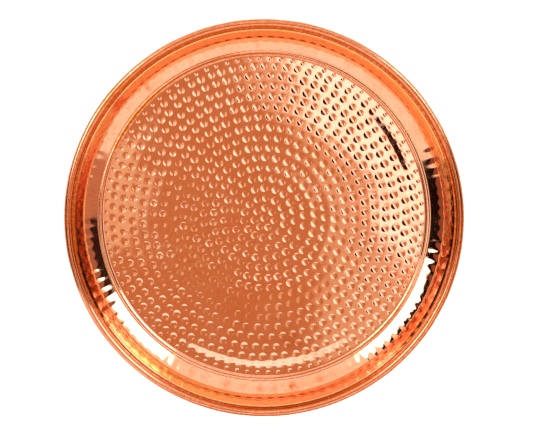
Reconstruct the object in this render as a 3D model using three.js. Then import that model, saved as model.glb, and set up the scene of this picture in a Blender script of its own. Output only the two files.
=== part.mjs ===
// A round hammered copper tray, in millimetres, +Z up, standing on the XY plane with its axis on Z.
//
// One disc of copper sheet is formed into a flat floor, a low raised bead, a smooth hollow border
// and a steep wall. The sheet's edge is then curled outwards and down round a steel wire hoop, which
// stiffens the rim. The hammer marks are a surface finish a few tenths of a millimetre deep, and
// these solids leave them out.

import * as THREE from "three";

// ---- driving dimensions ------------------------------------------------------------------------
const TRAY_DIAMETER = 304.8; // over the rim: a 12 inch tray
const TRAY_HEIGHT = 25; // from the table to the top of the rim
const SHEET = 0.9; // thickness of the copper
const BEAD_WIDTH = 4.6; // the raised ring round the floor, from foot to foot
const BEAD_HEIGHT = 0.9;
const BORDER_LIFT = 0.4; // how far the border's inner edge stands above the floor
const BORDER_RUN = 10.2; // the hollow border, measured across
const BORDER_RISE = 6.8; // and how far it climbs
const BORDER_TURN_RUN = 5.4; // where the border's two end tangents meet: how far across,
const BORDER_TURN_RISE = 1.7; // and how far up
const WALL_RUN = 5.6; // the wall, measured across, from its foot to the level ledge
const LEDGE_WIDTH = 0.7; // the level ledge between the wall and the roll
const LIP_BEND = 0.7; // inside radius of the bend from the wall to the ledge
const CREASE_BEND = 0.8; // inside radius of the bend from the ledge up into the roll
const CURL_GAP = 0.7; // between the copper's cut edge and the back of that bend
const WIRE_DIAMETER = 3;
const WIRE_CLEARANCE = 0.4; // all round, between the wire and the curl
const WIRE_JOINT = 1.2; // gap where the hoop's two ends meet

// ---- number of flats ---------------------------------------------------------------------------
const TRAY_SIDES = 72;
const BEAD_STEPS = 3; // on each flank
const BORDER_STEPS = 4;
const BEND_STEPS = 3;
const ROLL_STEPS = 12; // over its first three quarters of a turn
const TUCK_STEPS = 2;
const WIRE_SIDES = 10;

// ---- places on the section, with x as the radius and y as the height ---------------------------
const rollRadius = WIRE_DIAMETER / 2 + WIRE_CLEARANCE + SHEET; // over the copper
const rollCentre = new THREE.Vector2(TRAY_DIAMETER / 2 - rollRadius, TRAY_HEIGHT - rollRadius);
const creaseCentre = new THREE.Vector2(rollCentre.x - rollRadius - CREASE_BEND, rollCentre.y);
const lipRadius = LIP_BEND + SHEET;
const lipCentre = new THREE.Vector2(
  creaseCentre.x - LEDGE_WIDTH,
  creaseCentre.y - CREASE_BEND - lipRadius,
);
const wallFoot = new THREE.Vector2(lipCentre.x - WALL_RUN, SHEET + BORDER_LIFT + BORDER_RISE);
const borderFoot = new THREE.Vector2(wallFoot.x - BORDER_RUN, SHEET + BORDER_LIFT);
const beadCrest = new THREE.Vector2(borderFoot.x - BEAD_WIDTH / 2, SHEET + BEAD_HEIGHT);
const floorEdge = new THREE.Vector2(borderFoot.x - BEAD_WIDTH, SHEET);

const QUARTER_TURN = Math.PI / 2;
const SAME_POINT = 1e-6; // two curves' ends closer than this are one corner

// ---- the sheet's section -----------------------------------------------------------------------

// An S-shaped flank of the bead, level at both ends.
function beadFlank(from, to) {
  const handle = new THREE.Vector2((to.x - from.x) / 2, 0);
  return new THREE.CubicBezierCurve(from, from.clone().add(handle), to.clone().sub(handle), to);
}

// The hollow border, which leaves the bead's foot gently and steepens up to the foot of the wall.
function border() {
  const turn = borderFoot.clone().add(new THREE.Vector2(BORDER_TURN_RUN, BORDER_TURN_RISE));
  return new THREE.QuadraticBezierCurve(borderFoot, turn, wallFoot);
}

// A circular arc from one direction to another, as seen from its centre.
function arc(centre, radius, fromAngle, toAngle) {
  const clockwise = toAngle < fromAngle;
  return new THREE.EllipseCurve(
    centre.x, centre.y, radius, radius, fromAngle, toAngle, clockwise,
  );
}

// The bend at the top of the wall. The wall is the straight line from its foot that meets it smoothly.
function lip() {
  const toCentre = lipCentre.clone().sub(wallFoot);
  const wallSlope = toCentre.angle() + Math.asin(lipRadius / toCentre.length());
  return arc(lipCentre, lipRadius, wallSlope + QUARTER_TURN, QUARTER_TURN);
}

function crease() {
  return arc(creaseCentre, CREASE_BEND, -QUARTER_TURN, 0);
}

// The roll, from the crease up, over and down to its lowest point.
function roll() {
  return arc(rollCentre, rollRadius, Math.PI, -QUARTER_TURN);
}

// The last of the roll, which tucks back in until it is CURL_GAP short of the crease.
function tuck() {
  const toCrease = rollRadius + CREASE_BEND;
  const reach = CREASE_BEND + SHEET + CURL_GAP;
  const cosine = (toCrease ** 2 + rollRadius ** 2 - reach ** 2) / (2 * toCrease * rollRadius);
  return arc(rollCentre, rollRadius, -QUARTER_TURN, Math.acos(cosine) - Math.PI);
}

// The points of the sheet's upper face, from the tray's axis out to the cut edge of the curl.
function upperFace() {
  const stretches = [
    [beadFlank(floorEdge, beadCrest), BEAD_STEPS],
    [beadFlank(beadCrest, borderFoot), BEAD_STEPS],
    [border(), BORDER_STEPS],
    [lip(), BEND_STEPS],
    [crease(), BEND_STEPS],
    [roll(), ROLL_STEPS],
    [tuck(), TUCK_STEPS],
  ];
  const points = [new THREE.Vector2(0, SHEET)];
  for (const [curve, steps] of stretches) {
    for (const point of curve.getPoints(steps)) {
      if (point.distanceTo(points.at(-1)) > SAME_POINT) {
        points.push(point);
      }
    }
  }
  return points;
}

// The same line a sheet's thickness below: each corner moves along the line that halves its angle.
function lowerFace(upper) {
  const directions = upper.slice(1).map((point, i) => point.clone().sub(upper[i]).normalize());
  return upper.map((point, i) => {
    const arriving = directions[i - 1] ?? directions[i];
    const leaving = directions[i] ?? arriving;
    const along = arriving.clone().add(leaving).normalize();
    const depth = SHEET / along.dot(arriving);
    return new THREE.Vector2(point.x + along.y * depth, point.y - along.x * depth);
  });
}

// ---- the two pieces ----------------------------------------------------------------------------

function trayPan() {
  const upper = upperFace();
  const section = [...lowerFace(upper), ...upper.reverse()];
  const pan = new THREE.LatheGeometry(section, TRAY_SIDES);
  pan.rotateX(QUARTER_TURN);
  return pan;
}

// The wire's centre line: a level circle at the middle of the roll, short of a full turn.
class Hoop extends THREE.Curve {
  getPoint(t) {
    const halfJoint = WIRE_JOINT / 2 / rollCentre.x;
    const angle = halfJoint + t * 2 * (Math.PI - halfJoint);
    return new THREE.Vector3(
      rollCentre.x * Math.cos(angle),
      rollCentre.x * Math.sin(angle),
      rollCentre.y,
    );
  }
}

function rimWire() {
  const section = new THREE.Shape().absarc(0, 0, WIRE_DIAMETER / 2, 0, 2 * Math.PI);
  return new THREE.ExtrudeGeometry(section, {
    extrudePath: new Hoop(),
    steps: TRAY_SIDES,
    curveSegments: WIRE_SIDES / 2,
  });
}

const copper = new THREE.MeshStandardMaterial({ color: 0xc4683c, roughness: 0.16, metalness: 1 });
const steel = new THREE.MeshStandardMaterial({ color: 0x8d8f92, roughness: 0.45, metalness: 1 });

function piece(name, geometry, material) {
  const mesh = new THREE.Mesh(geometry, material);
  mesh.name = name;
  return mesh;
}

const tray = new THREE.Group();
tray.add(piece("tray_pan", trayPan(), copper));
tray.add(piece("rim_wire", rimWire(), steel));

export default tray;
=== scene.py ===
"""A round hammered copper tray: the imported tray_pan is replaced by a finely hammered sheet.

Lengths are in millimetres until a mesh is made, and the mesh is in metres. The tray's axis is Z.
Azimuths are in degrees from +X towards +Y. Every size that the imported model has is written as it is
there, or read from its box. The hammered sheet departs from the plain one by up to 0.63 mm.
"""

import math

import bpy
import numpy as np
from mathutils import Matrix, Vector


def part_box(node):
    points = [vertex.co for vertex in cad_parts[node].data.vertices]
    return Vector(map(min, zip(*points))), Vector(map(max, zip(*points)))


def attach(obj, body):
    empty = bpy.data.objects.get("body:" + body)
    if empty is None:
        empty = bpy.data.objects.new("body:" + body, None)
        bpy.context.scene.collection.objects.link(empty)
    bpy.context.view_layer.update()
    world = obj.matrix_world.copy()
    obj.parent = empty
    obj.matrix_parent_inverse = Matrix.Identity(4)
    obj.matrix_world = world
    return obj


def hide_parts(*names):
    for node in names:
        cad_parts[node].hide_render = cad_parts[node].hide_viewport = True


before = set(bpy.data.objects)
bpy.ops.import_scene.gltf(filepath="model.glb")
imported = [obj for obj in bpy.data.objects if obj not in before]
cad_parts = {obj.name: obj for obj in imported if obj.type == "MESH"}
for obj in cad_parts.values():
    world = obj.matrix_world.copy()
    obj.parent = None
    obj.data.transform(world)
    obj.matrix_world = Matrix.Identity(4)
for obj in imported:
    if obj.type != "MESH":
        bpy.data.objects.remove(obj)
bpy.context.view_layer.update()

MM = 0.001
TURN = 2 * math.pi
rng = np.random.default_rng(12)

# ---- the sheet's section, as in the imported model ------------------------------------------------
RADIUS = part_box("tray_pan")[1].x / MM
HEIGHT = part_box("tray_pan")[1].z / MM
SHEET = 0.9
BEAD_WIDTH = 4.6
BEAD_HEIGHT = 0.9
BORDER_LIFT = 0.4
BORDER_RUN = 10.2
BORDER_RISE = 6.8
BORDER_TURN = (5.4, 1.7)
WALL_RUN = 5.6
LEDGE = 0.7
LIP_RADIUS = 1.6
CREASE_BEND = 0.8
CURL_GAP = 0.7
ROLL_RADIUS = 2.8

roll_centre = np.array([RADIUS - ROLL_RADIUS, HEIGHT - ROLL_RADIUS])
crease_centre = roll_centre - [ROLL_RADIUS + CREASE_BEND, 0]
lip_centre = crease_centre - [LEDGE, CREASE_BEND + LIP_RADIUS]
fold = np.array([lip_centre[0] - WALL_RUN, SHEET + BORDER_LIFT + BORDER_RISE])
border_foot = np.array([fold[0] - BORDER_RUN, SHEET + BORDER_LIFT])
bead_crest = np.array([border_foot[0] - BEAD_WIDTH / 2, SHEET + BEAD_HEIGHT])
floor_edge = np.array([border_foot[0] - BEAD_WIDTH, SHEET])

# ---- the hammer marks --------------------------------------------------------------------------
RING_PITCH = 7.87  # between the rings of marks on the floor
MARKS = [1, 7, 14, 19, 24, 32, 37, 42, 48, 54, 60, 65, 71, 76, 81, 88, 92]  # in each ring
LAST_RING = len(MARKS) - 1
MARK_RADIUS = 3.0
LAST_RING_RADIUS = 1.65  # the last ring is squeezed between its neighbour and the bead,
LAST_RING_ROOM = 1.1  # which gives way to it by this much
NEIGHBOUR_SIZE = 0.96  # and has marks a little smaller
RING_MARGIN = 0.12  # between a ring's cells and its limits
BEAD_MARGIN = 0.15  # between the last ring's limit and the bead
MARK_DEPTHS = [(0, 0.26), (6, 0.26), (9, 0.23), (11, 0.30), (16, 0.30)]  # by ring
DEEPEST = 0.40
DEEPEST_LAST = 0.27  # in the last two rings
MARK_LIP = 0.06  # how soft a mark's edge is, as a share of its radius squared
SHIFT_ALONG = 0.045  # how far marks stray along their ring, as a share of the pitch,
SHIFT_ACROSS, MOST_ACROSS = 0.22, 0.45  # and across it
BACK_SHARE = 0.7  # of a mark's depth that stands out underneath
BACK_DEEPEST = 0.34
BACK_LIFT = 0.40  # of the sheet's back between the marks, at the floor's edge

# The outer marks are deeper towards one side of the tray and shallower towards another: by what
# share, that side's azimuth and half width, and how much of it each ring has.
DEPTH_SIDES = [
    (0.8, 35, 55, [(8, 0), (10, 1)]),
    (-0.36, 262, 50, [(7, 0), (9, 1), (11, 1), (14, 0.3)]),
]

# ---- the hammered fold, wall and roll ----------------------------------------------------------
FACETS = 106  # hammered along the fold
COLUMNS = FACETS * 5
AROUND = TURN * np.arange(COLUMNS) / COLUMNS  # the angle of each column of the rim's mesh
FACET_DEPTH = 0.20
FACET_REACH_INWARD, FACET_REACH_OUTWARD = 6.5, 5.5
WALL_FACETS = 89  # a fainter row of them up the wall
WALL_FACET_DEPTH = 0.06
WALL_FACETS_AT, WALL_FACET_REACH = 9, 3.5  # past the fold
BORDER_HALF = 6  # half the border's length along the section
ROLL_UNEVEN, ROLL_UNEVEN_SOFT = 14, 3  # the length before the cut edge that isn't quite round

# Where the rim's parts lie along the section, counted from the fold: start, end and softness.
WALL = (0.5, 14, 1)
WALL_TOP = (11.6, 14.6, 0.6)
CREASE = (14.2, 17.4, 0.8)
ROLL = (18, 60, 1.5)
ROLL_OUTSIDE = (22.6, 60, 1.6)
BORDER_FULLER = [  # how far the worked border stands above the plain one, by distance from its foot
    (-2.4, 0), (-1.2, 0.15), (0, 0.30), (0.6, 0.39), (1.3, 0.475), (2, 0.533), (2.7, 0.566),
    (3.4, 0.575), (5, 0.545), (8, 0.40), (11, 0.19), (13, 0.05), (14.5, 0),
]


# ---- mesh building -----------------------------------------------------------------------------
class Shell:
    """Points, their normals and the values that set their colour, and the triangles between them.

    A point's values are how tarnished it is together with the light and shade painted on it, how plainly
    spinning lines show there, or below 0 how plainly scratches do, and its distance along the section in
    millimetres. The first runs from -1, pale (a painted highlight), through 0, clean, to 1, dark (tarnished
    in places, painted shade in others), and 2, black (painted shade).
    """

    def __init__(self):
        self.points = []
        self.normals = []
        self.finish_and_shade = []
        self.triangles = []
        self.count = 0

    def add(self, points, normals, finish_and_shade):
        """Adds an array of points, and returns their numbers in the same arrangement."""
        flat = points.reshape(-1, 3)
        self.points.append(flat)
        self.normals.append(normals.reshape(-1, 3))
        self.finish_and_shade.append(finish_and_shade.reshape(-1, 3))
        numbers = np.arange(self.count, self.count + len(flat)).reshape(points.shape[:-1])
        self.count += len(flat)
        return numbers

    def fill(self, a, b, c, up):
        """Adds triangles between three arrays of point numbers, turned over where up is false."""
        corners = [a.ravel(), b.ravel(), c.ravel()] if up else [a.ravel(), c.ravel(), b.ravel()]
        self.triangles.append(np.stack(corners, axis=-1))

    def strip(self, inner, outer, up):
        """Joins two closed loops with the same number of points, running the same way round."""
        inner_next, outer_next = np.roll(inner, -1, axis=-1), np.roll(outer, -1, axis=-1)
        self.fill(inner, outer, outer_next, up)
        self.fill(inner, outer_next, inner_next, up)

    def zip(self, inner, outer, up):
        """Joins two circles round the axis that have different numbers of points."""
        i = j = 0
        made = []
        while i < len(inner) or j < len(outer):
            here, there = inner[i % len(inner)], outer[j % len(outer)]
            if (i + 0.5) / len(inner) < (j + 0.5) / len(outer):
                made.append((here, there, inner[(i + 1) % len(inner)]))
                i += 1
            else:
                made.append((here, there, outer[(j + 1) % len(outer)]))
                j += 1
        a, b, c = np.array(made).T
        self.fill(a, b, c, up)

    def mesh(self, name):
        points = np.concatenate(self.points) * MM
        normals = np.concatenate(self.normals)
        triangles = np.concatenate(self.triangles).astype(np.int32)
        mesh = bpy.data.meshes.new(name)
        mesh.vertices.add(len(points))
        mesh.vertices.foreach_set("co", points.astype(np.float32).ravel())
        mesh.loops.add(triangles.size)
        mesh.loops.foreach_set("vertex_index", triangles.ravel())
        mesh.polygons.add(len(triangles))
        mesh.polygons.foreach_set("loop_start", np.arange(0, triangles.size, 3, dtype=np.int32))
        mesh.polygons.foreach_set("use_smooth", np.ones(len(triangles), bool))
        mesh.update(calc_edges=True)
        mesh.validate()
        mesh.normals_split_custom_set_from_vertices(normals)
        finish_and_shade = mesh.attributes.new("finish_and_shade", "FLOAT_VECTOR", "POINT")
        finish_and_shade.data.foreach_set("vector", np.concatenate(self.finish_and_shade).astype(np.float32).ravel())
        return mesh


def unit(vectors):
    return vectors / np.linalg.norm(vectors, axis=-1, keepdims=True)


def apart(azimuth, other):
    """How many degrees one azimuth is past another, from -180 to 180."""
    return (azimuth - other + 180) % 360 - 180


def by_table(value, table):
    """Reads a value from a table of pairs, evenly between its rows and level past its ends."""
    return np.interp(value, *zip(*table))


# ---- the floor ---------------------------------------------------------------------------------
WAVES = [  # the land's slow unevenness: wavelength, height, direction and phase of each wave
    (length, height, rng.uniform(0, TURN), rng.uniform(0, TURN))
    for length, height in ((95, 0.10), (70, 0.07), (52, 0.05), (38, 0.035), (30, 0.02))
]
WAVES_END = 12  # how far inside the floor's edge they die away
RIPPLE_HEIGHT = 0.035  # and a faint ripple round the axis,
RIPPLE_PITCH, RIPPLE_CREST = 15.7, 36
RIPPLE_AT, RIPPLE_REACH = 42, 16  # near this radius
PROFILE_STEP = 0.05


def profile(slopes):
    """Radii and heights of a line round the axis from its slopes at some radii, ending at 0."""
    radii = np.arange(0, floor_edge[0], PROFILE_STEP)
    heights = np.cumsum(by_table(radii, slopes)) * PROFILE_STEP
    return radii, heights - heights[-1]


# The hammering has very slightly domed the floor, and in two places stepped it by the last rings.
DOME = profile([(0, 0), (80, 0), (85, -0.01), (112, -0.01), (121, 0), (124.9, 0)])
STEP = profile([(0, 0), (111, 0), (114, -0.08), (118.5, -0.08), (121, 0), (124.9, 0)])
STEP_GROWS = [(80, 0), (110, 1)]  # by radius
STEPPED = [(34, 17, 0.70), (270, 37, 1)]  # each place's azimuth and half width, and share of the step


def land(x, y):
    """How far the flat land between the marks rises or falls."""
    rise = np.zeros_like(x)
    for length, height, direction, phase in WAVES:
        along = x * math.cos(direction) + y * math.sin(direction)
        rise += height * np.sin(TURN * along / length + phase)
    r = np.hypot(x, y)
    ripple = RIPPLE_HEIGHT * np.cos(TURN * (r - RIPPLE_CREST) / RIPPLE_PITCH)
    rise += ripple * np.exp(-(((r - RIPPLE_AT) / RIPPLE_REACH) ** 2))
    rise *= np.clip((floor_edge[0] - r) / WAVES_END, 0, 1)
    azimuth = np.degrees(np.arctan2(y, x))
    stepped = sum(
        share * np.exp(-((apart(azimuth, middle) / width) ** 6)) for middle, width, share in STEPPED
    )
    return rise + np.interp(r, *DOME) + np.interp(r, *STEP) * stepped * by_table(r, STEP_GROWS)


def crater(x, y, mark):
    """The depth of one mark at a point, from 0 on the land to 1 at its middle."""
    cx, cy, radius = mark[..., 0], mark[..., 1], mark[..., 2]
    u = 1 - ((x - cx) ** 2 + (y - cy) ** 2) / radius**2
    return (u + np.sqrt(u * u + MARK_LIP**2)) / 2


def top_height(x, y, mark):
    return SHEET + land(x, y) - mark[..., 3] * crater(x, y, mark)


def back_height(x, y, mark):
    depth = np.minimum(mark[..., 3], BACK_DEEPEST)
    return BACK_LIFT + land(x, y) - BACK_SHARE * depth * crater(x, y, mark)


SCRATCHED = (-52, -28, 40)  # the scratched part's x, y and size,
SCRATCHED_FADE = 22  # and how far in from its edge the scratches fade
STAINS = [(22, -97, 7.5, 0.75), (-84, 79, 6, 0.35), (40, -104, 5, 0.3)]  # x, y, size, strength
SLOPE_STEP = 0.03  # the distance over which the surface's slope is taken


def on_floor(x, y, mark, height, up):
    """Points at x and y on a surface, their normals and their finish."""
    step = SLOPE_STEP
    z = height(x, y, mark)
    dx = (height(x + step, y, mark) - height(x - step, y, mark)) / (2 * step)
    dy = (height(x, y + step, mark) - height(x, y - step, mark)) / (2 * step)
    normals = unit(np.stack([-dx, -dy, np.ones_like(z)], -1))
    tarnish_and_shade = np.zeros_like(z)
    scratches = np.zeros_like(z)
    if up:
        for cx, cy, size, strength in STAINS:
            tarnish_and_shade += strength * np.exp(-((x - cx) ** 2 + (y - cy) ** 2) / size**2)
        cx, cy, size = SCRATCHED
        scratches = np.clip((size - np.hypot(x - cx, y - cy)) / SCRATCHED_FADE, 0, 1)
    finish_and_shade = np.stack([tarnish_and_shade, -scratches, np.hypot(x, y)], -1)
    return np.stack([x, y, z], -1), normals if up else -normals, finish_and_shade


def hammered_rings():
    """One row of marks for each ring: its limits, and each mark's place, radius and depth."""
    rings = []
    for k, count in enumerate(MARKS):
        inner = RING_PITCH * (k - 0.5)
        outer = RING_PITCH * (k + 0.5)
        middle, size, deepest = RING_PITCH * k, MARK_RADIUS, DEEPEST
        if k == LAST_RING - 1:
            outer -= LAST_RING_ROOM
            middle, size, deepest = (inner + outer) / 2, NEIGHBOUR_SIZE * size, DEEPEST_LAST
        if k == LAST_RING:
            inner, outer = inner - LAST_RING_ROOM, floor_edge[0] - BEAD_MARGIN
            middle, size, deepest = (inner + outer) / 2, LAST_RING_RADIUS, DEEPEST_LAST
        turn = rng.uniform(0, TURN)
        angle = turn + TURN * (np.arange(count) + 0.5) / count
        angle += rng.normal(0, SHIFT_ALONG, count) * RING_PITCH / max(middle, 1)
        across = np.clip(rng.normal(0, SHIFT_ACROSS, count), -MOST_ACROSS, MOST_ACROSS)
        r = middle + across * (k < LAST_RING - 1)
        radius = size * np.clip(rng.normal(1, 0.06, count), 0.84, 1.12)
        depth = by_table(k, MARK_DEPTHS) * radius / MARK_RADIUS
        depth = depth * np.clip(rng.normal(1, 0.12, count), 0.7, 1.3)
        for share, azimuth, half_width, by_ring in DEPTH_SIDES:
            off = apart(np.degrees(angle), azimuth)
            depth *= 1 + share * np.exp(-((off / half_width) ** 4)) * by_table(k, by_ring)
        depth = np.minimum(depth, deepest)
        marks = np.stack([r * np.cos(angle), r * np.sin(angle), radius, depth], -1)
        rings.append((inner, outer, turn, marks))
    return rings


def hammered_floor(shell, rings, height, up, side, shares):
    """Meshes the floor cell by cell, with side edges along each side of a mark's cell and a loop
    of points round the mark at each share of its radius. Returns its outermost circle."""
    around = 4 * side
    edge = None
    for inner, outer, turn, marks in rings:
        count = len(marks)
        in_middle = inner < 0
        if in_middle:
            marks = marks * [0, 0, 1, 1]
            out = np.zeros(1)
            bend = TURN * np.arange(around) / around
        else:
            out = turn + TURN * (np.arange(count) + 0.5) / count
            bend = -0.75 * math.pi - TURN * np.arange(around) / around
        cell = marks[:, None, :]
        loops = [shell.add(*on_floor(marks[:, 0], marks[:, 1], marks, height, up))]
        for share in shares:
            reach = cell[..., 2] * share
            direction = out[:, None] + bend[None]
            x = cell[..., 0] + reach * np.cos(direction)
            y = cell[..., 1] + reach * np.sin(direction)
            loops.append(shell.add(*on_floor(x, y, cell, height, up)))
        if in_middle:
            x, y = outer * np.cos(bend)[None], outer * np.sin(bend)[None]
            outline = shell.add(*on_floor(x, y, cell, height, up))
            outer_circle = outline[0]
            upright = up
        else:
            outline, inner_circle, outer_circle = cell_outlines(
                shell, marks, inner + RING_MARGIN, outer - RING_MARGIN, turn, side, height, up
            )
            shell.zip(edge, by_angle(shell, inner_circle), up)
            upright = not up  # these cells' loops run clockwise
        loops.append(outline)
        first = np.repeat(loops[0][:, None], around, axis=1)
        shell.fill(first, loops[1], np.roll(loops[1], -1, axis=1), upright)
        for a, b in zip(loops[1:], loops[2:]):
            shell.strip(a, b, upright)
        edge = by_angle(shell, outer_circle)
    return edge


def by_angle(shell, circle):
    """A circle's point numbers, started from the one nearest above angle 0."""
    points = np.concatenate(shell.points)[circle]
    angles = np.arctan2(points[:, 1], points[:, 0]) % TURN
    return np.roll(circle, -int(np.argmin(angles)))


def cell_outlines(shell, marks, inner, outer, turn, side, height, up):
    """The outlines of a ring's cells, which neighbours share, running clockwise from above, and
    the ring's inner and outer circle."""
    count = len(marks)
    step = TURN / count
    fine = turn + step * np.arange(count * side) / side
    owner = marks[np.arange(count * side) // side]
    circles = [
        shell.add(*on_floor(r * np.cos(fine), r * np.sin(fine), owner, height, up))
        for r in (inner, outer)
    ]
    share = np.arange(1, side) / side
    r = (inner + (outer - inner) * share)[None]
    angle = (turn + step * np.arange(count))[:, None]
    x, y = r * np.cos(angle), r * np.sin(angle)
    sides = shell.add(*on_floor(x, y, marks[:, None, :], height, up))
    low, high = (circle.reshape(count, side) for circle in circles)
    low_next, high_next = np.roll(low[:, :1], -1, axis=0), np.roll(high[:, :1], -1, axis=0)
    sides_next = np.roll(sides, -1, axis=0)
    outline = np.concatenate(
        [low, low_next, sides_next, high_next, high[:, :0:-1], high[:, :1], sides[:, ::-1]],
        axis=1,
    )
    return outline, *circles


# ---- the bead, border, wall and roll ------------------------------------------------------------
def bezier(points, steps):
    """Points along a Bezier curve, without its first."""
    t = np.linspace(0, 1, steps + 1)[1:, None]
    n = len(points) - 1
    terms = [math.comb(n, i) * (1 - t) ** (n - i) * t**i * np.array(p) for i, p in enumerate(points)]
    return sum(terms)


def arc(centre, radius, start, end, steps):
    angle = np.radians(np.linspace(start, end, steps + 1))
    return centre + radius * np.stack([np.cos(angle), np.sin(angle)], -1)


def flank(start, end, steps):
    """One side of the bead, level at both ends."""
    reach = np.array([(end[0] - start[0]) / 2, 0])
    return bezier([start, start + reach, end - reach, end], steps)


def rim_section():
    """The upper face from the floor's edge out to the cut edge, as radius and height."""
    to_lip = lip_centre - fold
    wall_slope = math.degrees(
        math.atan2(to_lip[1], to_lip[0]) + math.asin(LIP_RADIUS / np.linalg.norm(to_lip))
    )
    reach = CREASE_BEND + SHEET + CURL_GAP
    to_crease = ROLL_RADIUS + CREASE_BEND
    cosine = (to_crease**2 + ROLL_RADIUS**2 - reach**2) / (2 * to_crease * ROLL_RADIUS)
    tuck_end = math.degrees(math.acos(cosine)) - 180
    wall_top = arc(lip_centre, LIP_RADIUS, wall_slope + 90, 90, 4)
    wall = fold + (wall_top[0] - fold) * np.linspace(0, 1, 9)[1:-1, None]
    border = [border_foot, border_foot + BORDER_TURN, fold]
    return np.concatenate(
        [
            [floor_edge],
            flank(floor_edge, bead_crest, 5),
            flank(bead_crest, border_foot, 4),
            bezier(border, 40)[[0]],  # a row close to the foot, which keeps the bead's edge sharp
            bezier(border, 9),
            wall,
            wall_top,
            arc(crease_centre, CREASE_BEND, -90, 0, 4),
            arc(roll_centre, ROLL_RADIUS, 180, -90, 16)[1:],
            arc(roll_centre, ROLL_RADIUS, -90, tuck_end, 2)[1:],
        ]
    )


def wander(size, slowest, count):
    """A smooth closed random curve round the tray, from a few slow waves."""
    total = np.zeros(COLUMNS)
    for n in range(slowest, slowest + count):
        total += rng.normal(0, size) * np.cos(n * AROUND + rng.uniform(0, TURN))
    return total / math.sqrt(count)


def around(base, *places):
    """A row of values round the tray: the base, and what each place adds, given as the strength,
    the azimuth and the half width."""
    total = np.full((1, COLUMNS), float(base))
    for strength, azimuth, half_width in places:
        off = apart(np.degrees(AROUND), azimuth)
        total += strength * np.exp(-((off / half_width) ** 2))
    return total


class Rows:
    """The rows of the rim's mesh, one at each point of its section. Except for at, each method
    gives a column with a value for each row."""

    def __init__(self, section):
        steps = np.linalg.norm(np.diff(section, axis=0), axis=1)
        self.section = section
        self.distance = np.concatenate([[0], np.cumsum(steps)])

    def at(self, place):
        """How far along the section a place on it is."""
        return self.distance[np.argmin(np.linalg.norm(self.section - place, axis=1))]

    def beyond(self, distance):
        """How far past a distance along the section each row is."""
        return (self.distance - distance)[:, None]

    def near(self, distance, width):
        """1 at a distance along the section, falling away on both sides of it."""
        return np.exp(-((self.beyond(distance) / width) ** 2))

    def between(self, start, end, soft):
        """1 from start to end along the section, counted from the fold, with soft ends."""
        from_fold = self.beyond(self.at(fold))
        rising = np.clip((from_fold - start) / soft + 0.5, 0, 1)
        return rising * np.clip((end - from_fold) / soft + 0.5, 0, 1)

    def on_border(self):
        """1 halfway up the border, falling to 0 at its foot and at the fold."""
        halfway = self.at(fold) - BORDER_HALF
        return np.clip(1 - np.abs(self.beyond(halfway)) / BORDER_HALF, 0, 1)


def rim_surface(rows):
    """The section turned round the axis and then worked: facets along the fold, a planished wall
    and a roll that isn't quite round. Returns its points, its normals and the facets' pattern."""
    from_fold = rows.beyond(rows.at(fold))
    phase = wander(1.0, 3, 6) + wander(0.5, 9, 8)
    strength = 1 + wander(0.5, 5, 20)
    facets = np.cos(FACETS * AROUND + phase) * strength
    stronger = around(1, (1.5, 355, 22), (1.6, 195, 20), (1, 320, 25))
    reach = from_fold / np.where(from_fold < 0, FACET_REACH_INWARD, FACET_REACH_OUTWARD)
    work = -FACET_DEPTH * np.exp(-(reach**2)) * (0.5 + 0.5 * facets * stronger)
    work = work + by_table(rows.beyond(rows.at(border_foot)), BORDER_FULLER)

    wall_facets = np.cos(WALL_FACETS * AROUND + 1.3 * phase[::-1] + 1.0) * (1 + wander(0.5, 4, 16))
    up_wall = rows.near(rows.at(fold) + WALL_FACETS_AT, WALL_FACET_REACH)
    work -= WALL_FACET_DEPTH * up_wall * wall_facets * stronger
    work += up_wall * wander(0.02, 60, 80) * stronger
    work += rows.on_border() * (wander(0.05, 4, 14) + wander(0.02, 25, 30))
    on_roll = np.clip(rows.beyond(rows.distance[-1] - ROLL_UNEVEN) / ROLL_UNEVEN_SOFT, 0, 1)
    work += on_roll * wander(0.045, 6, 40)

    along = np.gradient(rows.section, axis=0)
    across = unit(np.stack([-along[:, 1], along[:, 0]], -1))
    worked = rows.section[:, None] + across[:, None] * work[..., None]
    r, z = worked[..., 0], worked[..., 1]
    points = np.stack([r * np.cos(AROUND), r * np.sin(AROUND), z], -1)
    by_row = np.gradient(points, axis=0)
    by_column = np.roll(points, -1, axis=1) - np.roll(points, 1, axis=1)
    return points, unit(np.cross(by_row, by_column)), facets


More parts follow.
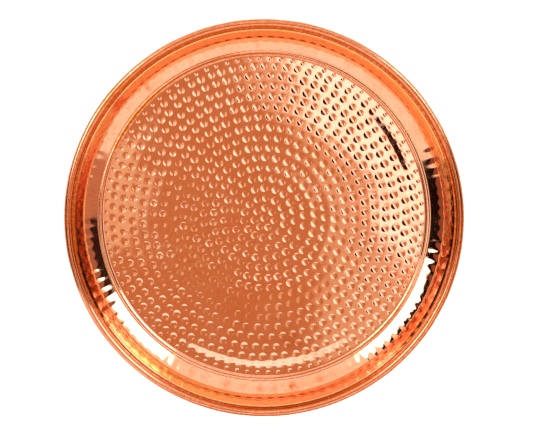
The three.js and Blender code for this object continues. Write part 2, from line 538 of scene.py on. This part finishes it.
def rim_finish_and_shade(rows, facets):
    """The values of each point of the rim, as a Shell has them, with painted shade and painted highlights
    over much of it.
    """
    foot, at_fold = rows.at(border_foot), rows.at(fold)
    bead_middle = foot / 2
    bead = rows.near(bead_middle, 1.9)
    border = rows.on_border()
    wall = rows.between(*WALL)
    crease = rows.between(*CREASE)
    roll = rows.between(*ROLL)
    ragged = np.clip(0.7 + 0.5 * facets, 0, 1.2)

    # the bead, darker all round and more so at some azimuths, painted shade that dulls its highlights; paler
    # at others and on its outer side towards one azimuth, a painted highlight; and its two feet, a little
    # darker
    tarnish_and_shade = bead * around(
        0.34, (0.3, 95, 65), (0.6, 145, 18), (0.4, 322, 12), (-0.3, 225, 25), (-0.7, 195, 15), (-0.6, 352, 12)
    )
    tarnish_and_shade -= rows.near(foot - 1.1, 1.0) * around(0, (1.3, 40, 38))
    tarnish_and_shade += 0.2 * rows.near(0.3, 0.5) + 0.2 * rows.near(foot, 0.4)

    # a ragged line of painted shade along the fold, black in places, with pale copper beside it as a painted
    # highlight
    tarnish_and_shade += ragged * rows.near(at_fold + 0.1, 0.55) * around(0.3, (1.4, 88, 55))
    tarnish_and_shade -= rows.near(at_fold + 0.2, 0.9) * around(0, (1, 190, 28), (1, 340, 28))
    tarnish_and_shade -= rows.near(at_fold + 0.8, 1.3) * around(0, (0.9, 264, 40))
    tarnish_and_shade += ragged * rows.near(at_fold + 3.1, 0.75) * around(0, (2.4, 264, 27))

    # the wall, painted pale over most of its length as a painted reflection, and darker at some azimuths as
    # painted shade where it would reflect dark surroundings
    pale = around(0.95, (-1, 195, 26), (-0.45, 282, 26), (-1, 335, 28))
    tarnish_and_shade -= wall * np.clip(pale, 0, 1)
    tarnish_and_shade += wall * around(
        0, (1, 196, 16), (1.35, 174, 13), (0.2, 288, 22), (0.5, 345, 20), (0.8, 322, 10), (1.2, 141, 2.5)
    )
    # a black line of painted shade along the top of the wall at three azimuths
    wall_top_shade = rows.between(*WALL_TOP) * np.maximum(ragged, 0.45)
    tarnish_and_shade += wall_top_shade * around(0, (2.2, 203, 11), (2.2, 340, 20), (2.2, 3, 12))

    # the border, darker in a narrow streak; the crease, painted shade, paler at some azimuths; the roll,
    # darker all round and darker or paler by azimuth as painted shade and painted highlights; and painted
    # shade on the roll's outer side towards -Y
    tarnish_and_shade += border * around(0, (0.7, 131.5, 0.9))
    tarnish_and_shade += crease * around(1, (-0.5, 225, 22), (-0.4, 330, 25), (0.2, 280, 25))
    tarnish_and_shade += roll * around(
        0.42, (-0.4, 225, 18), (0.1, 172, 12), (-0.3, 200, 18), (0.15, 350, 25), (0.2, 141, 4)
    )
    tarnish_and_shade += rows.between(*ROLL_OUTSIDE) * around(0, (0.8, 275, 62))

    # patches on the border, and painted glints on the wall: painted highlights where pale, painted shade
    # where dark
    patches = np.clip(wander(0.5, 20, 60) * around(0.3, (1, 280, 40)), 0, 1)
    tarnish_and_shade += border * (patches + around(0, (0.22, 280, 22)))
    painted_glints = np.clip(wander(1.0, 50, 70) + wander(0.7, 14, 30), -0.9, 0.7)
    painted_glints = painted_glints * around(0, (1, 2, 30), (1, 190, 30), (0.3, 285, 45))
    tarnish_and_shade += 0.5 * wall * painted_glints * np.cos(rows.beyond(at_fold + 2) / 2.2)

    spun = np.clip(roll + rows.near(bead_middle, 2.2), 0, 1)
    level = np.zeros((1, COLUMNS))
    return np.stack([np.clip(tarnish_and_shade, -1, 2), spun + level, rows.beyond(0) + level], -1)


def worked_pan():
    shell = Shell()
    rings = hammered_rings()
    top_edge = hammered_floor(shell, rings, top_height, True, 4, (0.5, 0.9, 1.06))
    back_edge = hammered_floor(shell, rings, back_height, False, 2, (0.8,))

    rows = Rows(rim_section())
    points, normals, facets = rim_surface(rows)
    finish_and_shade = rim_finish_and_shade(rows, facets)
    upper = shell.add(points, normals, finish_and_shade)
    lower_points = points - SHEET * normals
    lower_points[0, :, 2] = BACK_LIFT
    keep = [0, *range(3, len(points) - 2, 3), len(points) - 1]  # the rows that the back has
    lower = shell.add(lower_points[keep], -normals[keep], finish_and_shade[keep])
    for inner, outer in zip(upper, upper[1:]):
        shell.strip(inner, outer, True)
    for inner, outer in zip(lower, lower[1:]):
        shell.strip(inner, outer, False)
    shell.strip(upper[-1], lower[-1], True)
    shell.zip(top_edge, upper[0], True)
    shell.zip(back_edge, lower[0], False)
    return shell.mesh("hammered_pan")


pan = bpy.data.objects.new("hammered_pan", worked_pan())
bpy.context.scene.collection.objects.link(pan)
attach(pan, "root")
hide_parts("tray_pan")


# ---- materials ---------------------------------------------------------------------------------
CLEAN = (0.94, 0.39, 0.21)
CLEAN_BROAD = (0.96, 0.44, 0.26)  # in broad patches
CLEAN_BROWN = (0.86, 0.31, 0.135)  # in small flecks
CLEAN_PINK = (0.97, 0.52, 0.33)  # and in smaller ones
SCRATCH = (1.0, 0.66, 0.45)
# pale copper, painted as a highlight
PAINTED_HIGHLIGHT = (0.92, 0.50, 0.15)
# tarnished copper, and painted shade over much of the rim
TARNISH_AND_SHADE = (0.60, 0.12, 0.008)
# black, painted as shade
BLACK_SHADE = (0.05, 0.01, 0.004)
SPECK = (0.02, 0.008, 0.004)
SPECK_AT = (0.0095, -0.0795, 0.0009)  # in metres
SPECK_CORE, SPECK_EDGE = 0.0004, 0.0008
PAINTED_HIGHLIGHT_METALLIC = 0.8
TARNISH_ROUGHER = 0.18  # how much roughness full tarnish and painted shade add
RELIEF = 0.0000035  # the height in metres of the finest relief


def new_material(name):
    material = bpy.data.materials.new(name)
    material.use_nodes = True
    tree = material.node_tree
    return material, tree, tree.nodes["Principled BSDF"]


def node(tree, kind, **settings):
    made = tree.nodes.new(kind)
    for key, value in settings.items():
        if key in made.inputs:
            made.inputs[key].default_value = value
        else:
            setattr(made, key, value)
    return made


def copper():
    """Bright polished copper, tarnished, painted pale as a highlight and painted dark, black in places, as
    shade where each point's values say, with faint lines from spinning.
    """
    material, tree, shader = new_material("copper")
    shader.inputs["Metallic"].default_value = 1
    link = tree.links.new

    def noise(vector, scale, detail, distortion=0.0):
        made = node(tree, "ShaderNodeTexNoise", Scale=scale, Detail=detail, Distortion=distortion)
        link(vector, made.inputs["Vector"])
        return made.outputs["Fac"]

    def spread(value, low, high, to_low, to_high):
        """The value's range from low to high, spread over another range."""
        limits = {"From Min": low, "From Max": high, "To Min": to_low, "To Max": to_high}
        made = tree.nodes.new("ShaderNodeMapRange")
        for name, number in limits.items():
            made.inputs[name].default_value = number
        link(value, made.inputs["Value"])
        return made.outputs["Result"]

    def math_node(operation, a, b=0.0):
        made = node(tree, "ShaderNodeMath", operation=operation)
        for socket, value in zip(made.inputs, (a, b)):
            if isinstance(value, float):
                socket.default_value = value
            else:
                link(value, socket)
        return made.outputs[0]

    def mix(share, a, b):
        made = node(tree, "ShaderNodeMix", data_type="RGBA")
        link(share, made.inputs[0])
        for socket, value in ((made.inputs[6], a), (made.inputs[7], b)):
            if isinstance(value, tuple):
                socket.default_value = (*value, 1)
            else:
                link(value, socket)
        return made.outputs[2]

    place = tree.nodes.new("ShaderNodeTexCoord").outputs["Object"]
    finish_and_shade = node(tree, "ShaderNodeAttribute", attribute_name="finish_and_shade")
    split = tree.nodes.new("ShaderNodeSeparateXYZ")
    link(finish_and_shade.outputs["Vector"], split.inputs[0])
    tarnish_and_shade, lines_or_scratches, along = split.outputs
    spun = spread(lines_or_scratches, 0, 1, 0, 1)
    scratched = spread(lines_or_scratches, 0, -1, 0, 1)

    # the spinning lines follow the section's length and hardly change round the tray
    slow = node(tree, "ShaderNodeVectorMath", operation="SCALE", Scale=8)
    link(place, slow.inputs[0])
    split_slow = tree.nodes.new("ShaderNodeSeparateXYZ")
    link(slow.outputs[0], split_slow.inputs[0])
    ring = tree.nodes.new("ShaderNodeCombineXYZ")
    link(split_slow.outputs[0], ring.inputs[0])
    link(split_slow.outputs[1], ring.inputs[1])
    link(along, ring.inputs[2])
    lines = noise(ring.outputs[0], 1.6, 3)

    # clean copper, which isn't quite even
    broad = noise(place, 28, 4, 0.4)
    fine = noise(place, 420, 3)
    grain = noise(place, 2600, 2)
    colour = mix(spread(broad, 0.35, 0.65, 0, 1), CLEAN, CLEAN_BROAD)
    colour = mix(spread(fine, 0.45, 0.72, 0, 0.6), colour, CLEAN_BROWN)
    colour = mix(spread(noise(place, 700, 2), 0.55, 0.75, 0, 0.5), colour, CLEAN_PINK)

    # hairline scratches, crossing, on one part of the floor
    for turn in (0.8, 2.3):
        turned = node(tree, "ShaderNodeMapping", vector_type="TEXTURE", Scale=(7, 1, 1))
        turned.inputs["Rotation"].default_value = (0, 0, turn)
        link(place, turned.inputs["Vector"])
        ridge = math_node("ABSOLUTE", math_node("SUBTRACT", noise(turned.outputs[0], 190, 1), 0.5))
        hair = math_node("MULTIPLY", spread(ridge, 0.006, 0.018, 1, 0), scratched)
        colour = mix(math_node("MULTIPLY", hair, 0.5), colour, SCRATCH)

    # pale copper as a painted highlight, tarnished copper and painted shade, black painted shade, and one
    # speck
    lined = math_node("MULTIPLY", spun, spread(lines, 0.48, 0.68, 0, 0.5))
    broken = math_node("MULTIPLY", tarnish_and_shade, spread(fine, 0.3, 0.6, 0.55, 1.15))
    amount = spread(math_node("ADD", broken, lined), 0, 1, 0, 1)
    colour = mix(spread(tarnish_and_shade, 0, -1, 0, 1), colour, PAINTED_HIGHLIGHT)
    colour = mix(amount, colour, TARNISH_AND_SHADE)
    colour = mix(spread(tarnish_and_shade, 1, 1.6, 0, 1), colour, BLACK_SHADE)
    speck = node(tree, "ShaderNodeVectorMath", operation="DISTANCE")
    link(place, speck.inputs[0])
    speck.inputs[1].default_value = SPECK_AT
    colour = mix(spread(speck.outputs["Value"], SPECK_CORE, SPECK_EDGE, 1, 0), colour, SPECK)
    link(colour, shader.inputs["Base Color"])
    link(spread(tarnish_and_shade, 0, -1, 1, PAINTED_HIGHLIGHT_METALLIC), shader.inputs["Metallic"])

    rough = math_node("ADD", spread(broad, 0.3, 0.7, 0.05, 0.085), spread(fine, 0.45, 0.8, 0, 0.05))
    rough = math_node("ADD", rough, math_node("MULTIPLY", amount, TARNISH_ROUGHER))
    link(rough, shader.inputs["Roughness"])

    relief = math_node("ADD", math_node("MULTIPLY", math_node("MULTIPLY", spun, lines), 3.0), grain)
    relief = math_node("ADD", relief, math_node("MULTIPLY", fine, 1.5))
    bump = node(tree, "ShaderNodeBump", Strength=1, Distance=RELIEF)
    link(relief, bump.inputs["Height"])
    link(bump.outputs[0], shader.inputs["Normal"])
    return material


def plain(name, colour, roughness, metallic=0):
    material, _, shader = new_material(name)
    shader.inputs["Base Color"].default_value = (*colour, 1)
    shader.inputs["Roughness"].default_value = roughness
    shader.inputs["Metallic"].default_value = metallic
    return material


pan.data.materials.append(copper())
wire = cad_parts["rim_wire"]
wire.data.materials.clear()
wire.data.materials.append(plain("drawn_steel", (0.42, 0.42, 0.43), 0.4, metallic=1))


# ---- the studio --------------------------------------------------------------------------------
STUDIO_HALF = 4  # from here on, lengths are in metres
FLOOR_DROP = 0.0002  # of the studio's floor below the tray
SKY_STRENGTH = 1.3
SUN_STRENGTH, SUN_WIDTH = 2.0, math.radians(20)
SCREEN_DISTANCE, SCREEN_HEIGHT = 5, 2.3
SCREEN_COLOUR = (1, 0.70, 0.42)
CARD_HEIGHT = 1.0
LEVEL_GAP = 0.01
COOL, COOLER = (0.7, 0.85, 1), (0.6, 0.85, 1.0)


def glowing(name, colour, strength):
    material = bpy.data.materials.new(name)
    material.use_nodes = True
    tree = material.node_tree
    tree.nodes.clear()
    glow = node(tree, "ShaderNodeEmission", Color=(*colour, 1), Strength=strength)
    out = tree.nodes.new("ShaderNodeOutputMaterial")
    tree.links.new(glow.outputs[0], out.inputs["Surface"])
    return material


def flat_face(name, corners, material):
    mesh = bpy.data.meshes.new(name)
    mesh.from_pydata(corners, [], [list(range(len(corners)))])
    mesh.materials.append(material)
    made = bpy.data.objects.new(name, mesh)
    bpy.context.scene.collection.objects.link(made)
    return made


def card(name, corners, colour, strength):
    """A studio card that shows only in reflections."""
    made = flat_face(name, corners, glowing(name, colour, strength))
    made.visible_camera = False
    made.visible_diffuse = False
    made.visible_shadow = False


def overhead(name, corners, level, colour, strength):
    """A level card over the tray, a little below CARD_HEIGHT to sort it among the rest: the card
    of the highest level is the lowest, and hides the others."""
    card(name, [(x, y, CARD_HEIGHT - LEVEL_GAP * level) for x, y in corners], colour, strength)


studio_floor = flat_face(
    "studio_floor",
    [(x * STUDIO_HALF, y * STUDIO_HALF, -FLOOR_DROP) for x, y in ((-1, -1), (1, -1), (1, 1), (-1, 1))],
    plain("studio_white", (0.9, 0.9, 0.9), 0.8),
)
studio_floor.visible_glossy = False

world = bpy.data.worlds.new("studio")
bpy.context.scene.world = world
world.use_nodes = True
world.node_tree.nodes["Background"].inputs["Color"].default_value = (1, 1, 1, 1)
world.node_tree.nodes["Background"].inputs["Strength"].default_value = SKY_STRENGTH

# screens round the studio, which show the hammering from the side
for name, (x, y), strength in (
    ("screen_right", (1, 0), 0.90),
    ("screen_left", (-1, 0), 1.10),
    ("screen_back", (0, 1), 0.95),
    ("screen_front", (0, -1), 1.15),
):
    middle = SCREEN_DISTANCE * Vector((x, y, 0))
    side = SCREEN_DISTANCE * Vector((y, x, 0))  # the four meet at their corners
    top = Vector((0, 0, SCREEN_HEIGHT))
    corners = [middle - side, middle + side, middle + side + top, middle - side + top]
    card(name, corners, SCREEN_COLOUR, strength)

# the warm ceiling and the glows over the floor's light parts
overhead(
    "ceiling",
    [(-0.21, -0.17), (-0.60, -0.17), (-0.60, -0.45), (0.9, -0.45), (0.9, 0.55), (-0.21, 0.55)],
    0, (1.0, 0.53, 0.28), 0.63,
)
overhead(
    "glow",
    [(0.06, -0.45), (0.42, -0.45), (-0.04, 0.24), (-0.10, 0.24), (0.03, 0.02), (0.10, -0.10)],
    1, (1.0, 0.78, 0.58), 0.85,
)
overhead(
    "side_glow",
    [(-0.21, -0.17), (-0.21, 0.05), (-0.50, 0.05), (-0.50, -0.17)],
    1, (1.0, 0.90, 0.72), 0.93,
)

# the light and dark cards that the marks and the border pick up
overhead(
    "panel",
    [(0.414, -0.45), (0.75, -0.10), (0.6, 0.5), (-0.1, 0.5), (-0.1, 0.32)],
    2, (0.85, 0.87, 1.0), 2.4,
)
overhead(
    "dark_card",
    [(0.48, -0.30), (0.80, -0.22), (0.86, 0.20), (0.56, 0.54), (0.20, 0.20)],
    3, (1, 0.25, 0.15), 0.03,
)
overhead(
    "brown_card",
    [(0.20, 0.20), (0.56, 0.54), (0.30, 0.52), (0.0, 0.55), (0.03, 0.40)],
    3, (1, 0.2, 0.05), 0.12,
)
overhead(
    "softbox_right",
    [(0.68, 0.19), (0.43, 0.50), (0.80, 1.0), (1.30, 0.92), (1.35, 0.50)],
    6, COOL, 6.0,
)
overhead(
    "softbox_left",
    [
        (-0.36, 0.40), (-0.60, 0.70), (-1.0, 0.85), (-1.45, 0.72),
        (-1.15, 0.30), (-0.80, 0.03), (-0.55, 0.0),
    ],
    6, COOL, 6.0,
)
overhead(
    "front_strip",
    [
        (0.30, -0.43), (-0.12, -0.43), (-0.22, -0.44), (-0.33, -0.46), (-0.46, -0.33), (-0.50, -0.18),
        (-0.60, -0.20), (-0.56, -0.40), (-0.40, -0.60), (-0.10, -0.68), (0.30, -0.66),
    ],
    7, COOLER, 2.1,
)

# the dark and mauve surroundings, which the wall and the bead pick up
overhead(
    "flag_right",
    [(0.62, -0.15), (3.2, -0.36), (3.2, 1.20), (0.66, 0.19)],
    5, (1, 0.5, 0.4), 0.03,
)
overhead(
    "mauve_wall",
    [(0.60, -0.15), (3.2, -0.36), (3.2, -1.65), (0.56, -0.38)],
    5, (1, 0.56, 0.38), 0.6,
)
overhead(
    "flag_left",
    [(-0.54, -0.33), (-5.3, -2.56), (-5.3, 4.4), (-1.05, 0.88), (-0.52, 0.02)],
    5, (1, 0.4, 0.3), 0.01,
)
overhead(
    "mauve_right",
    [(1.15, -0.20), (3.2, -0.36), (3.2, 1.20), (1.15, 0.36)],
    8, (1, 0.50, 0.36), 0.42,
)
overhead(
    "mauve_left",
    [(-1.35, -0.72), (-5.3, -2.56), (-5.3, 2.0), (-1.45, 0.30)],
    8, (1, 0.40, 0.26), 0.30,
)

# the floor's own light, which polished copper doesn't show
sun = bpy.data.lights.new("floor_light", "SUN")
sun.energy = SUN_STRENGTH
sun.angle = SUN_WIDTH
floor_light = bpy.data.objects.new("floor_light", sun)
floor_light.visible_glossy = False
bpy.context.scene.collection.objects.link(floor_light)

# ---- camera ------------------------------------------------------------------------------------
CAMERA_DISTANCE = 1.0
CAMERA_TILT = math.radians(6.8)  # towards +Y from straight above
CAMERA_LENS, CAMERA_SENSOR = 85.6, 36  # in millimetres
AIM = Vector((0.0045, -0.0013, 0))

eye = CAMERA_DISTANCE * Vector((0, math.sin(CAMERA_TILT), math.cos(CAMERA_TILT)))
back = (eye - AIM).normalized()
right = Vector((0, 1, 0)).cross(back).normalized()
up = back.cross(right)
camera_data = bpy.data.cameras.new("camera")
camera_data.sensor_width = CAMERA_SENSOR
camera_data.lens = CAMERA_LENS
camera = bpy.data.objects.new("camera", camera_data)
camera.matrix_world = Matrix.Translation(eye) @ Matrix((right, up, back)).transposed().to_4x4()
bpy.context.scene.collection.objects.link(camera)
bpy.context.scene.camera = camera

bpy.context.scene.view_settings.view_transform = "Standard"
